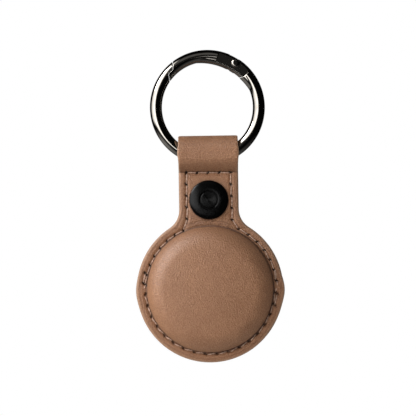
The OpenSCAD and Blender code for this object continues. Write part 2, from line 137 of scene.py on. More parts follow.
class Finish:
    """One material, with short ways to add its nodes."""

    def __init__(self, name, **constants):
        self.material = bpy.data.materials.new(name)
        self.material.use_nodes = True
        self.tree = self.material.node_tree
        self.shader = self.tree.nodes["Principled BSDF"]
        for socket, value in constants.items():
            self.shader.inputs[socket.replace("_", " ")].default_value = value
        self.position = None

    def node(self, kind, settings=None, inputs=None, output=0):
        made = self.tree.nodes.new(kind)
        for key, value in (settings or {}).items():
            setattr(made, key, value)
        for key, value in (inputs or {}).items():
            self.give(made.inputs[key], value)
        return Value(self, made.outputs[output])

    def give(self, socket, value):
        if isinstance(value, Value):
            self.tree.links.new(value.socket, socket)
        else:
            socket.default_value = value

    def maths(self, operation, *values):
        return self.node("ShaderNodeMath", {"operation": operation}, dict(enumerate(values)))

    def vectors(self, operation, inputs):
        return self.node("ShaderNodeVectorMath", {"operation": operation}, inputs)

    def point(self):
        """The place on the object, in millimetres."""
        if self.position is None:
            metres = self.node("ShaderNodeTexCoord", output="Object")
            self.position = self.vectors("SCALE", {0: metres, "Scale": 1 / MM})
        return self.position

    def axes(self):
        split = self.tree.nodes.new("ShaderNodeSeparateXYZ")
        self.give(split.inputs[0], self.point())
        return [Value(self, split.outputs[i]) for i in range(3)]

    def stretched(self, x, y, z):
        return self.vectors("MULTIPLY", {0: self.point(), 1: (x, y, z)})

    def noise(self, size, detail=3, rough=0.55, at=None):
        """Soft noise of about 0.5, whose blotches are about size millimetres across."""
        return self.node(
            "ShaderNodeTexNoise", None,
            {"Vector": at or self.point(), "Scale": 1 / size, "Detail": detail, "Roughness": rough},
            "Fac")

    def cells(self, size, at=None, randomness=1.0):
        """Distance from the middle of the nearest cell, for a pebbled pattern."""
        return self.node(
            "ShaderNodeTexVoronoi", None,
            {"Vector": at or self.point(), "Scale": 1 / size, "Randomness": randomness}, "Distance")

    def swirl(self, size, reach):
        """A wandering step of up to this many millimetres, to bend straight patterns."""
        inputs = {"Vector": self.point(), "Scale": 1 / size}
        wander = self.node("ShaderNodeTexNoise", None, inputs, "Color")
        return self.vectors("SCALE", {0: wander, "Scale": reach})

    def marked(self, name):
        """A number that the mesh carries at each of its points."""
        return self.node("ShaderNodeAttribute", {"attribute_name": name}, None, "Fac")

    def blend(self, amount, first, second):
        """The first colour where the amount is 0, the second where it is 1."""
        mix = self.tree.nodes.new("ShaderNodeMix")
        mix.data_type = "RGBA"
        self.give(mix.inputs["Factor"], amount)
        self.give(mix.inputs[6], first)
        self.give(mix.inputs[7], second)
        return Value(self, mix.outputs[2])

    def bumps(self, height, depth):
        """Height from 0 to 1 stands for this depth in millimetres."""
        inputs = {"Height": height, "Distance": depth * MM, "Strength": 1.0}
        self.feed("Normal", self.node("ShaderNodeBump", None, inputs, "Normal"))

    def feed(self, socket, value):
        self.give(self.shader.inputs[socket], value)


def srgb(r, g, b):
    """A colour read as 0 to 255, as the light values that Blender counts in."""
    def light(c):
        c = c / 255
        return c / 12.92 if c <= 0.04045 else ((c + 0.055) / 1.055) ** 2.4
    return (light(r), light(g), light(b), 1.0)


print("shader helpers ready")

# %% [markdown]
# ## Leather
# The real leather is a smooth tan hide with a waxy finish: cloudy darker and lighter patches, a fine
# pebbled grain that shows where light grazes it, and a paler fuzz on cut edges. A flat brown with one
# noise would look like plastic, so clouds, patches, beads and grain come at four sizes. Painted shade
# in folds, creases, needle holes and wrinkles, the cut edges and a painted highlight along the front's
# rim are read from numbers that the mesh carries.


# %% Leather finishes
def leather(name, middle_tone, dark_tone, pale_tone):
    hide = Finish(name, IOR=1.5)
    clouds = hide.noise(9, 3, 0.5)
    patches = hide.noise(2.4, 3, 0.6)
    leaning = hide.stretched(1.05, 1, 0.9)
    warped = hide.vectors("ADD", {0: leaning, 1: hide.swirl(1.3, 0.25)})
    grain = hide.noise(0.3, 2, 0.65, at=warped)
    pebbles = hide.cells(0.5, at=warped, randomness=0.9)
    beads = hide.noise(0.31, 0, 0.5, at=leaning)
    fibre = hide.noise(0.22, 2, 0.6)
    tone = hide.blend(clouds.rise(0.3, 0.7) * 0.35, middle_tone, dark_tone)
    tone = hide.blend(patches.rise(0.4, 0.7) * 0.15, tone, pale_tone)
    tone = hide.blend(grain.rise(0.42, 0.62) * 0.6, tone, dark_tone)
    raised = (1 - pebbles.rise(0.12, 0.46)) * 0.25 + beads.rise(0.45, 0.7) * 0.26
    tone = hide.blend(raised, tone, pale_tone)
    fold = hide.marked("fold")
    cut = hide.marked("cut")
    hole = hide.marked("hole")
    wrinkle = hide.marked("wrinkle")
    creases = hide.noise(1.1, 3, 0.65, at=hide.stretched(0.7, 1, 2.2))
    # Painted shade: the wrinkles' creases, the folds and creases, and the needle holes are darkened
    # here.
    tone = hide.blend(wrinkle * creases.rise(0.5, 0.62) * 0.15, tone, srgb(96, 64, 46))
    tone = hide.blend(fold * 0.8, tone, srgb(52, 31, 21))
    # The cut mark pales the raw cut edges, and on the front it also draws a painted highlight along the
    # rim.
    tone = hide.blend(cut * (0.45 + fibre * 0.4), tone, srgb(190, 162, 138))
    tone = hide.blend(hole, tone, srgb(5, 4, 3))
    hide.feed("Base Color", tone)
    hide.feed("Roughness", 0.48 + grain * 0.1 + cut * 0.3 + fold * 0.2)
    height = pebbles.rise(0.0, 0.6) * -0.35 - grain * 0.4 + beads * 1.65 + patches * 0.3
    height = height + wrinkle * creases * 7 + cut * fibre
    hide.bumps(height, 0.075)
    return hide


front_hide = leather("front_hide", srgb(153, 108, 77), srgb(124, 84, 58), srgb(184, 138, 103))
back_hide = leather("back_hide", srgb(152, 110, 82), srgb(127, 88, 63), srgb(176, 133, 101))
print("leather finishes:", front_hide.material.name, back_hide.material.name)


# %% Flesh side of the leather
def flesh_side():
    raw = Finish("flesh_side", IOR=1.4, Sheen_Weight=0.3, Sheen_Roughness=0.6)
    fibres = raw.noise(0.5, 4, 0.7, at=raw.stretched(1, 2.4, 1))
    clouds = raw.noise(6, 3)
    tone = raw.blend(clouds, srgb(160, 124, 100), srgb(136, 102, 80))
    tone = raw.blend(fibres.rise(0.35, 0.7) * 0.5, tone, srgb(186, 156, 132))
    raw.feed("Base Color", tone)
    raw.feed("Roughness", 0.78 + fibres * 0.15)
    raw.bumps(fibres, 0.12)
    return raw


raw_hide = flesh_side()
print("flesh side:", raw_hide.material.name)

# %% [markdown]
# ## Thread
# Waxed thread is a few strands twisted together. The twist is in the mesh, so the finish only needs
# fine fibres along it, a little wax shine and some uneven dye.


# %% Thread finish
def waxed_thread():
    thread = Finish("waxed_thread", IOR=1.45, Sheen_Weight=0.2)
    fibres = thread.noise(0.08, 2)
    dye = thread.noise(3, 2)
    tone = thread.blend(dye, srgb(230, 196, 174), srgb(192, 156, 134))
    tone = thread.blend(fibres.rise(0.45, 0.8) * 0.5, tone, srgb(124, 92, 74))
    thread.feed("Base Color", tone)
    thread.feed("Roughness", 0.5 + fibres * 0.25)
    thread.bumps(fibres, 0.03)
    return thread


thread_finish = waxed_thread()
print("thread finish:", thread_finish.material.name)

# %% [markdown]
# ## Metals
# The ring is polished and plated almost black, so it is mostly made of what it reflects, with fine
# scratches. The cap is satin black, turned on a lathe, and its rings draw a faint fan of light. The
# inner snap parts are plain satin steel.


# %% Metal finishes
def polished_plating():
    plate = Finish("polished_plating", Metallic=1.0)
    wear = plate.noise(1.6, 4, 0.65)
    scuffs = plate.noise(0.9, 4, 0.75)
    tone = plate.blend(wear.rise(0.45, 0.8), srgb(130, 126, 120), srgb(108, 103, 97))
    plate.feed("Base Color", tone)
    plate.feed("Roughness", 0.07 + wear.rise(0.5, 0.8) * 0.05 + scuffs.rise(0.6, 0.75) * 0.1)
    plate.bumps(scuffs, 0.001)
    return plate


def satin_steel(name, light_tone, dark_tone, rough):
    steel = Finish(name, Metallic=1.0)
    brushed = steel.noise(0.35, 3, 0.6, at=steel.stretched(1, 6, 1))
    wear = steel.noise(1.5, 3)
    steel.feed("Base Color", steel.blend(wear, light_tone, dark_tone))
    steel.feed("Roughness", rough + brushed * 0.12)
    steel.bumps(brushed, 0.01)
    return steel


def turned_black():
    black = Finish("turned_black", IOR=1.2)
    x, y, z = black.axes()
    radius = ((x * x) + (z - snap_z) ** 2) ** 0.5
    rings = black.maths("SINE", radius * 42)
    dust = black.noise(0.3, 3, 0.6)
    tone = black.blend(dust.rise(0.55, 0.8), srgb(4, 4, 4), srgb(13, 12, 12))
    black.feed("Base Color", tone)
    black.feed("Roughness", 0.17 + dust * 0.06)
    turning = 0.8 - radius.rise(2.2, 2.5) * 0.4
    black.bumps(rings * turning * 0.5 + dust * 0.2, 0.012)
    return black


plating = polished_plating()
bright_steel = satin_steel("bright_steel", srgb(200, 198, 194), srgb(168, 164, 158), 0.28)
snap_steel = satin_steel("snap_steel", srgb(146, 142, 138), srgb(110, 106, 102), 0.34)
cap_black = turned_black()
print("metal finishes: 4")

# %% [markdown]
# ## Working on a mesh as by hand
# A new piece starts either as a primitive or as a copy of its CAD solid, and is then shaped with the
# same operators a person would press. Each needs a clean selection, so two small helpers see to that.


# %% Selection helpers
def only(obj):
    bpy.ops.object.select_all(action="DESELECT")
    obj.select_set(True)
    bpy.context.view_layer.objects.active = obj
    return obj


def copy_of(node, name):
    """A merged copy of a CAD node, free to be shaped."""
    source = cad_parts[node]
    piece = bpy.data.objects.new(name, source.data.copy())
    bpy.context.scene.collection.objects.link(piece)
    piece.data.materials.clear()
    only(piece)
    bpy.ops.object.mode_set(mode="EDIT")
    bpy.ops.mesh.select_all(action="SELECT")
    bpy.ops.mesh.remove_doubles(threshold=0.004 * MM)
    bpy.ops.mesh.customdata_custom_splitnormals_clear()
    bpy.ops.object.mode_set(mode="OBJECT")
    return piece


def apply_modifier(obj, kind, **settings):
    only(obj)
    modifier = obj.modifiers.new(kind.title(), kind)
    for key, value in settings.items():
        setattr(modifier, key, value)
    bpy.ops.object.modifier_apply(modifier=modifier.name)


def joined(pieces, name):
    bpy.ops.object.select_all(action="DESELECT")
    for piece in pieces:
        piece.select_set(True)
    bpy.context.view_layer.objects.active = pieces[0]
    bpy.ops.object.join()
    pieces[0].name = name
    return pieces[0]


def finished(obj, finish, body, slot, *stands_for):
    """Gives the piece its material and its place in the frame."""
    obj.data.materials.clear()
    obj.data.materials.append(finish.material)
    if body:
        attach(obj, body)
    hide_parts(*stands_for)
    print(f"{obj.name}: {len(obj.data.polygons)} faces")
    return obj


# %% [markdown]
# ## Seams
# Thread goes down through one needle hole and up through the next, so each visible stitch spans from
# hole to hole. The holes of the real seams are evenly spaced: round the dome, up both sides of the neck
# and across it. The same list of holes also presses dimples into the leather further on.


# %% Needle holes
def on_arc(r, start, stop, pitch):
    """Evenly spaced holes round the pocket's centre, from one angle to the other."""
    count = round(abs(stop - start) * math.pi / 180 * r / pitch)
    angles = [math.radians(start + (stop - start) * i / count) for i in range(count + 1)]
    return [Vector((r * math.cos(a), pocket_z + r * math.sin(a))) for a in angles]


def on_line(a, b, pitch):
    """Evenly spaced holes from a to b, without the one at a."""
    count = round((b - a).length / pitch)
    return [a + (b - a) * i / count for i in range(1, count + 1)]


seam_r, right_seam_r = dome_r + 0.45, dome_r + 1.0
left_pitch, neck_pitch, right_pitch, lower_pitch = 2.8, 2.95, 3.1, 3.2
upper_slant, lower_slant = 35, -30
side_x = neck_half - 2.15
cross_z = crease_z - 0.18
neck_low_z = pocket_z + 19.7
left_low = Vector((-side_x, neck_low_z))
left_top = Vector((-side_x, cross_z))
right_top = Vector((side_x, cross_z))
right_low = Vector((side_x + 0.35, neck_low_z - 0.6))
left_arc = on_arc(seam_r, 175, 113.5, left_pitch)
right_arc = on_arc(right_seam_r, 63.5, 6.5, right_pitch)
upper_holes = (left_arc + [left_low] + on_line(left_low, left_top, neck_pitch)
               + on_line(left_top, right_top, neck_pitch)
               + on_line(right_top, right_low, neck_pitch) + right_arc)
neck_holes = upper_holes[len(left_arc) + 1:-len(right_arc) - 1]
lower_holes = on_arc(seam_r, 183.5, 356.5, lower_pitch)
print("needle holes:", len(upper_holes), "above and", len(lower_holes), "below")


# %% Back-tacks
def back_tack(end, inward, away):
    """The sewer goes back over the first stitch, a little to one side, and ends towards the fold."""
    aside = Vector((away, 0))
    step = (inward - end).normalized()
    over_first = [end + aside + step * 0.4, inward + aside + step * 0.5]
    towards_fold = [end - step * 1.5 + aside * 0.5, end + aside * 0.2]
    return [over_first, towards_fold]


left_end = back_tack(upper_holes[0], upper_holes[1], -0.62)
right_end = back_tack(upper_holes[-1], upper_holes[-2], 0.3)
lower_end = back_tack(lower_holes[-1], lower_holes[-2], 0.62)
back_tacks = left_end + right_end + lower_end
print("back-tacks:", len(back_tacks))

# %% [markdown]
# ## Front leather
# This is the piece that the eye goes to. The hide is wet-moulded over a form, so its dome runs smoothly
# into a soft shoulder and meets the flange in a crisp crease, and every stitch pulls a dimple into it.
# It could be built from a grid, but the CAD solid already has the shape with its fold over the ring, so
# a copy is remeshed finely and then worked like clay: each point moves by what presses on it there.


# %% Reading and moving points
def points_of(obj):
    """Where the mesh's points are, in millimetres, and which way they face."""
    count = len(obj.data.vertices)
    place = np.empty(count * 3, np.float32)
    facing = np.empty(count * 3, np.float32)
    obj.data.vertices.foreach_get("co", place)
    obj.data.vertices.foreach_get("normal", facing)
    return place.reshape(-1, 3).astype(float) / MM, facing.reshape(-1, 3).astype(float)


def move_points(obj, place):
    obj.data.vertices.foreach_set("co", (place * MM).astype(np.float32).ravel())
    obj.data.update()


def slope(value, low, high):
    """0 below low, 1 above high, and a smooth slope between them."""
    t = np.clip((value - low) / (high - low), 0, 1)
    return t * t * (3 - 2 * t)


def fades(distance, full, gone):
    """1 up to one distance, then a smooth slope down to 0 at the other."""
    return 1 - slope(distance, full, gone)


def bell(value, centre, width):
    return np.exp(-((value - centre) / width) ** 2)


def mark(obj, name, numbers):
    """Gives each point a number that the material can read."""
    attribute = obj.data.attributes.get(name) or obj.data.attributes.new(name, "FLOAT", "POINT")
    attribute.data.foreach_set("value", np.asarray(numbers, np.float32))


def soften(obj, voxel, rounds):
    apply_modifier(obj, "REMESH", mode="VOXEL", voxel_size=voxel * MM, use_smooth_shade=True)
    apply_modifier(obj, "SMOOTH", factor=0.5, iterations=rounds)


def refine(obj, wanted):
    """Cuts the faces whose points are all wanted in four."""
    only(obj)
    obj.data.vertices.foreach_set("select", np.zeros(len(obj.data.vertices), bool))
    faces = np.zeros(len(obj.data.polygons), bool)
    for i, face in enumerate(obj.data.polygons):
        faces[i] = all(wanted[v] for v in face.vertices)
    obj.data.polygons.foreach_set("select", faces)
    bpy.ops.object.mode_set(mode="EDIT")
    bpy.ops.mesh.select_mode(type="FACE")
    bpy.ops.object.mode_set(mode="OBJECT")
    obj.data.polygons.foreach_set("select", faces)
    bpy.ops.object.mode_set(mode="EDIT")
    bpy.ops.mesh.subdivide(number_cuts=1)
    bpy.ops.object.mode_set(mode="OBJECT")


# %% How near each point is to the seams
def seam_distances(flat, holes, slant):
    """For points in X and Z: distance to the stitching, and to a slanted hole in hole sizes."""
    hole_long, hole_wide = 0.6, 0.3
    line = np.full(len(flat), 1e3)
    hole = np.full(len(flat), 1e3)
    spots = [np.array(h) for h in holes]
    for a, b in zip(spots, spots[1:]):
        span = b - a
        t = np.clip((flat - a) @ span / (span @ span), 0, 1)
        line = np.minimum(line, np.linalg.norm(flat - a - t[:, None] * span, axis=1))
    for i, spot in enumerate(spots):
        along = spots[min(i + 1, len(spots) - 1)] - spots[max(i - 1, 0)]
        angle = math.atan2(along[1], along[0]) + math.radians(slant)
        far = flat - spot
        u = far[:, 0] * math.cos(angle) + far[:, 1] * math.sin(angle)
        w = far[:, 1] * math.cos(angle) - far[:, 0] * math.sin(angle)
        hole = np.minimum(hole, np.sqrt((u / hole_long) ** 2 + (w / hole_wide) ** 2))
    return line, hole


def edge_distance(x, z):
    """How far inside the front's cut edge a place is."""
    fillet_r = 6.0
    r = np.hypot(x, z - pocket_z)
    fillet_x = neck_half + fillet_r
    fillet_z = pocket_z + math.sqrt((flange_r + fillet_r) ** 2 - fillet_x ** 2)
    touch_z = pocket_z + (fillet_z - pocket_z) * flange_r / (flange_r + fillet_r)
    corner = np.hypot(np.abs(x) - fillet_x, z - fillet_z) - fillet_r
    inside = flange_r - r
    inside = np.where((z > touch_z) & (z <= fillet_z), np.maximum(inside, corner), inside)
    return np.where(z > fillet_z, neck_half - np.abs(x), inside)


# %% Front leather: remesh it and round the loop
front = copy_of("front_panel", "front_leather")
soften(front, 0.27, 3)
place, facing = points_of(front)
strap_t, loop_in_r, taper_h = 1.3, 3.0, 2.9
roll_top = crease_z + 3.9
above = place[:, 2] - crease_z
t = np.clip(above / (roll_top - crease_z), 0, 1)
solid = np.minimum(strap_t + loop_in_r, strap_t + loop_in_r * above / taper_h)
rolled = strap_t + loop_in_r * np.sin(t * math.pi / 2) ** 0.9
scale = np.where((above > 0) & (t < 1), rolled / np.maximum(solid, strap_t), 1.0)
place[:, 1] *= scale
move_points(front, place)
flat = place[:, [0, 2]]
upper_line, lower_line = (seam_distances(flat, holes, 0)[0] for holes in (upper_holes, lower_holes))
near_seam = np.minimum(upper_line, lower_line) < 0.74
refine(front, near_seam & (place[:, 1] < -0.9) & (place[:, 2] < crease_z + 0.8))
print("front points:", len(front.data.vertices))

# %% Front leather: pull in the seams
place, facing = points_of(front)
x, y, z = place.T
flat = place[:, [0, 2]]
r = np.hypot(x, z - pocket_z)
outer = (y < -0.5) & (z < crease_z + 0.9) & (facing[:, 1] < 0.3)
upper_line, upper_hole = seam_distances(flat, upper_holes, upper_slant)
lower_line, lower_hole = seam_distances(flat, lower_holes, lower_slant)
line, hole = np.minimum(upper_line, lower_line), np.minimum(upper_hole, lower_hole)
for pair in (left_end[0], lower_end[0]):
    tack_line, tack_hole = seam_distances(flat, pair, upper_slant)
    line, hole = np.minimum(line, tack_line), np.minimum(hole, tack_hole)
on_flange = outer & (line < 1.5) & (y > -2.2)
beside_thread = outer & (line > 0.6)
lower_one = lower_hole < upper_hole
hole_depth = np.where(lower_one, 0.45, 0.55)
press = 0.24 * fades(line, 0.0, 0.95) + hole_depth * fades(hole, 0.4, 1.15)
print("points that the seams press:", int(on_flange.sum()))

# %% Front leather: round its edge and draw its creases
inset = edge_distance(x, z)
rim = np.clip(1 - inset / 1.1, 0, 1)
rounded = 0.52 * (1 - np.sqrt(1 - np.minimum(rim, 0.999) ** 2))
crease = np.abs(r - dome_r - 0.12)
arc = np.abs(r - dome_r - 1.5)
over_dome = fades(np.abs(x), 5, 8) * (z > pocket_z)
valley = 0.1 * fades(crease, 0.0, 0.4) + 0.07 * fades(arc, 0.0, 0.4) * over_dome
rim_line = np.abs(inset - 1.0)
creaser = np.where(beside_thread, 0.07 * fades(rim_line, 0.0, 0.35), 0)
shift = np.where(on_flange, press, 0) + np.where(outer & (y > -1.6), rounded + valley, 0)
place[:, 1] += shift + creaser
print("deepest crease in mm:", round(float(valley.max()), 2))

# %% Front leather: let its edge swell and dent as by hand
up = z - pocket_z
swell, lopsided = 0.32, 0.06
swollen = (swell + lopsided * np.sign(x)) * bell(up, -0.5, 3.2)
swollen = swollen * slope(r, dome_r + 0.6, flange_r) * (z < crease_z)
dented = 0.28 * bell(up, 6.8, 3.2) + 0.22 * bell(up, -11.5, 3)
swollen -= dented * slope(r, dome_r + 1.2, flange_r) * (x > 0)
place[:, [0, 2]] += np.stack([x, up], axis=1) / np.maximum(r, 1)[:, None] * swollen[:, None]
pushed = 0.26 * bell(z + ring_out_r, wire_d, 1.7) * slope(np.abs(x), 6.4, neck_half)
place[:, 0] += np.sign(x) * pushed * (z > crease_z)
move_points(front, place)
print("edge moved by up to", round(float(np.abs(swollen).max()), 2), "mm")

# %% Front leather: mark the painted shade in its folds and creases
in_front = y < -0.5
# Painted shade: darker along the stitching, in the dome's crease and an arc above it, in a ring round
# the snap cap, at the loop's crease, over the loop's lower part and in the creaser's line.
fold = np.where(outer, 0.3 * fades(arc, 0.05, 0.35) * over_dome, 0)
for where, strength, distance, full, gone in (
        (on_flange, 0.35, line, 0.1, 0.6),
        (outer, 0.8, crease, 0.05, 0.42),
        (outer, 0.7, np.abs(np.hypot(x, z - snap_z) - snap_r), 0.0, 0.5),
        (in_front & (np.abs(z - crease_z) < 2), 0.8, np.abs(z - crease_z - 0.05), 0.05, 0.35),
        (in_front & (z > crease_z), 0.34, z - crease_z, 0.2, 3.6),
        (beside_thread, 0.3, rim_line, 0.05, 0.3)):
    fold = np.maximum(fold, np.where(where, strength * fades(distance, full, gone), 0))
mark(front, "fold", fold)
print("fold marks up to", round(float(fold.max()), 2))

# %% Front leather: mark its cut edges, a painted highlight on its rim, and painted shade in its holes and wrinkles
edge_band, tail_low_z = 0.4, -32
side = np.clip(1.15 - np.abs(facing[:, 1]) * 1.5, 0, 1)
strap_edge = np.abs(x) > neck_half - edge_band
at_edge = ((edge_distance(x, z) < 0.5) & (z < crease_z)) | (strap_edge & (z > tail_low_z))
loop_cut = np.clip(np.abs(facing[:, 0]) * 1.4 - 0.4, 0, 1)
cut = np.where((z > crease_z) & strap_edge, loop_cut, np.where(at_edge, side, 0))
# Painted highlight: a pale band along the rounded rim, where the edge catches the light, carried in the
# cut mark.
pale_rim_highlight = np.where(outer, 0.48 * fades(inset, 0.2, 0.8), 0)
mark(front, "cut", np.maximum(cut, pale_rim_highlight))
# Painted shade: the needle holes are painted near-black, less so on the lower seam.
shade = np.where(lower_one, 0.6, 0.85)
mark(front, "hole", np.where(on_flange, fades(hole, 0.85, 1.2), 0) * shade)
# Wrinkles are bumps whose creases also get painted shade, above the dome and across the neck.
gathered = slope(r, 17.6, 18.2) * fades(r, 20.5, 24) * fades(np.abs(x), 4.5, 7.5)
on_neck = outer & (z > pocket_z + 17) & (z < crease_z - 1)
wrinkle = np.where(outer & (z > pocket_z + 10), gathered, 0)
mark(front, "wrinkle", np.maximum(wrinkle, np.where(on_neck, 0.35, 0)))
finished(front, front_hide, "holder", "front_leather", "front_panel")

# %% [markdown]
# ## Back leather
# The back is one disc of leather. Its lower half is sewn down and its upper half is the flap, which
# folds along the line across the middle. Two stiff halves would tear apart there, so the copies of the
# two CAD halves are joined by a strip and remeshed into one skin.

# %% Back leather
lower_half = copy_of("back_panel", "lower_half")
upper_half = copy_of("back_flap", "upper_half")
strip_size = ((2 * flange_r - 0.5) * MM, (leather_t - 0.04) * MM, 1.0 * MM)
bpy.ops.object.select_all(action="DESELECT")
bpy.ops.mesh.primitive_cube_add(size=1, location=(0, (back_y - leather_t / 2) * MM, fold_z * MM))
strip = bpy.context.object
bpy.ops.transform.resize(value=strip_size)
bpy.ops.object.transform_apply(location=True, rotation=True, scale=True)
back = joined([lower_half, upper_half, strip], "back_leather")
soften(back, 0.28, 3)
place, facing = points_of(back)
near_seam = seam_distances(place[:, [0, 2]], lower_holes, 0)[0] < 0.8
refine(back, near_seam & (place[:, 1] > 2.0) & (place[:, 2] < fold_z))
print("back points:", len(back.data.vertices))

# %% Back leather: press in its seam, score its fold and mark its edges
place, facing = points_of(back)
x, y, z = place.T
line, hole = seam_distances(place[:, [0, 2]], lower_holes, -lower_slant)
sewn_down = (y > 2.0) & (z < fold_z) & (line < 1.5)
from_fold = np.abs(z - fold_z)
score = np.where(y > 2.3, 0.22 * fades(from_fold, 0.0, 0.7), 0)
place[:, 1] -= np.where(sewn_down, 0.3 * fades(hole, 0.35, 1.15), 0) + score
move_points(back, place)
# Painted shade: darker along the seam and along the flap's fold line, near-black in the needle holes,
# and in the wrinkles' creases near the top.
fold = np.where(sewn_down, 0.4 * fades(line, 0.1, 0.8), 0)
mark(back, "fold", np.maximum(fold, 0.55 * fades(from_fold, 0.1, 0.8)))
side = np.clip(1.1 - np.abs(facing[:, 1]) * 1.5, 0, 1)
mark(back, "cut", side * (flange_r - np.hypot(x, z - pocket_z) < 0.6))
mark(back, "hole", np.where(sewn_down, fades(hole, 0.75, 1.1), 0))
mark(back, "wrinkle", slope(z, snap_z - 12, snap_z - 5) * 0.3)
finished(back, back_hide, None, "back_leather", "back_panel", "back_flap")
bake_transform(back)

# %% [markdown]
# ## Backing ring
# This ring of leather lies behind the flange, with its rough flesh side round the pocket's opening. It
# could be drawn again, but the CAD solid already fits the other leathers, so its edges are only eased.

# %% Backing ring
backing = copy_of("backing_ring", "backing_leather")
soften(backing, 0.28, 2)
finished(backing, raw_hide, "holder", "raw_leather", "backing_ring")


# %% [markdown]
# ## Stitches
# Each stitch is a short length of two strands twisted together, which dips into the needle hole at
# both ends. One is turned with a Screw, its ends are pressed down, and it is copied along the seams.
# Each copy leans and strays a little, because a seam in which all stitches are alike looks printed.


# %% One twisted stitch
def close_ends(obj):
    """Fills the open ends of a swept tube and turns its faces outwards."""
    only(obj)
    bpy.ops.object.mode_set(mode="EDIT")
    bpy.ops.mesh.select_all(action="SELECT")
    bpy.ops.mesh.fill_holes(sides=0)
    bpy.ops.mesh.select_all(action="SELECT")
    bpy.ops.mesh.normals_make_consistent(inside=False)
    bpy.ops.object.mode_set(mode="OBJECT")


def twisted_stitch():
    """Two strands, one millimetre long, wound about the Z axis."""
    strand_r, strand_out, turns = 0.08, 0.088, 1.25
    strands = []
    for turn in range(2):
        bpy.ops.object.select_all(action="DESELECT")
        angle = turn * math.pi
        bpy.ops.mesh.primitive_circle_add(vertices=8, radius=strand_r * MM)
        strand = bpy.context.object
        bpy.ops.object.mode_set(mode="EDIT")
        bpy.ops.transform.rotate(value=math.pi / 2, orient_axis="X", center_override=(0, 0, 0))
        bpy.ops.transform.translate(value=(strand_out * MM, 0, 0))
        bpy.ops.transform.rotate(value=angle, orient_axis="Z", center_override=(0, 0, 0))
        bpy.ops.object.mode_set(mode="OBJECT")
        apply_modifier(strand, "SCREW", angle=2 * math.pi * turns, screw_offset=1 * MM, steps=18,
                       render_steps=18, use_normal_calculate=True)
        strands.append(strand)
    one = joined(strands, "one_stitch")
    close_ends(one)
    return one


def sewn(name, seams, slant, sinking):
    """Copies of the stitch along each seam: (holes, y of the leather, which way is out)."""
    start, share, lift, dive = 0.09, 0.82, 0.1, 1.15
    one = twisted_stitch()
    copies = []
    for holes_list, face_y, out in seams:
        for i in range(len(holes_list) - 1):
            a, b = holes_list[i], holes_list[i + 1]
            span = b - a
            lean = slant * (1 + 0.4 * math.sin(9.7 * i + a.x))
            aside = 0.07 * math.sin(5.3 * i + a.y)
            stitch = one.copy()
            stitch.data = one.data.copy()
            bpy.context.scene.collection.objects.link(stitch)
            for v in stitch.data.vertices:
                t = v.co.z / MM
                side, up = v.co.x, v.co.y
                u = start + share * t
                dip = dive * abs(2 * u - 1) ** sinking
                normal = Vector((-span.y, span.x)).normalized()
                along = a + span * u + normal * (lean * (1 - 2 * u) + aside)
                depth = (face_y + out * (lift - dip)) * MM + up
                v.co = Vector((along.x * MM + normal.x * side, depth, along.y * MM + normal.y * side))
            copies.append(stitch)
    bpy.data.objects.remove(one)
    return joined(copies, name)


groove, sunk = 0.3, 0.04
upper_front = [(upper_holes, -leather_t, -1)]
upper_rear = [(left_arc, leather_t - groove, 1), (right_arc, leather_t - groove, 1),
              (neck_holes, leather_t - sunk, 1)]
tacks = [(pair, -leather_t, -1) for pair in back_tacks]
upper_thread = sewn("upper_stitches", upper_front + upper_rear + tacks, 0.1, 3.4)
finished(upper_thread, thread_finish, "holder", "thread", "upper_stitching")
lower_both = [(lower_holes, -leather_t, -1), (lower_holes, back_y - groove, 1)]
lower_thread = sewn("lower_stitches", lower_both, -0.24, 2.1)
finished(lower_thread, thread_finish, "holder", "thread", "lower_stitching")

# %% [markdown]
# ## Turned snap parts
# A snap is pressed and turned from sheet metal, so each part is a profile turned about one axis: a line
# of points is drawn with extrusions and spun, which gives the small radii that catch the light.


# %% Spin a profile
def turned(name, profile, steps=96, x=0.0, z=None):
    """Spins (radius, y) points about the line along Y through x and z, in millimetres."""
    z = snap_z if z is None else z
    bpy.ops.object.select_all(action="DESELECT")
    bpy.ops.mesh.primitive_plane_add(size=MM)
    obj = bpy.context.object
    obj.name = name
    bpy.ops.object.mode_set(mode="EDIT")
    bpy.ops.mesh.select_mode(type="VERT")
    bpy.ops.mesh.select_all(action="SELECT")
    bpy.ops.mesh.merge(type="CENTER")
    bpy.ops.transform.translate(value=((x + profile[0][0]) * MM, profile[0][1] * MM, z * MM))
    for (r0, y0), (r1, y1) in zip(profile, profile[1:]):
        step = ((r1 - r0) * MM, (y1 - y0) * MM, 0)
        bpy.ops.mesh.extrude_vertices_move(TRANSFORM_OT_translate={"value": step})
    bpy.ops.mesh.select_all(action="SELECT")
    bpy.ops.mesh.spin(steps=steps, angle=2 * math.pi, center=(x * MM, 0, z * MM), axis=(0, 1, 0))
    bpy.ops.mesh.select_all(action="SELECT")
    bpy.ops.mesh.remove_doubles(threshold=0.0005 * MM)
    bpy.ops.mesh.normals_make_consistent(inside=False)
    bpy.ops.object.mode_set(mode="OBJECT")
    only(obj)
    bpy.ops.object.shade_smooth_by_angle(angle=math.radians(38))
    return obj


front_y = -leather_t
disc = [(0, -0.99), (0.6, -1.01), (1.6, -1.07), (2.1, -1.1), (2.2, -1.09), (2.28, -1.04), (2.34, -0.95)]
groove_round_disc = [(2.36, -0.85), (2.5, -0.85), (2.53, -1.02), (2.6, -1.1)]
rim_of_cap = [(2.7, -1.12), (3.4, -1.09), (4.1, -1.01), (4.7, -0.89), (5.1, -0.77), (5.3, -0.65),
              (5.4, -0.48), (5.42, -0.3), (5.35, -0.1), (5.2, 0.0)]
turned_in = [(4.15, 0.0), (4.15, -0.3), (4.75, -0.32), (4.75, -0.6), (0, -0.6)]
cap_profile = disc + groove_round_disc + rim_of_cap + turned_in
cap = turned("snap_cap_black", [(r, front_y + h) for r, h in cap_profile], 128)
finished(cap, cap_black, "holder", "black_metal", "snap_cap")

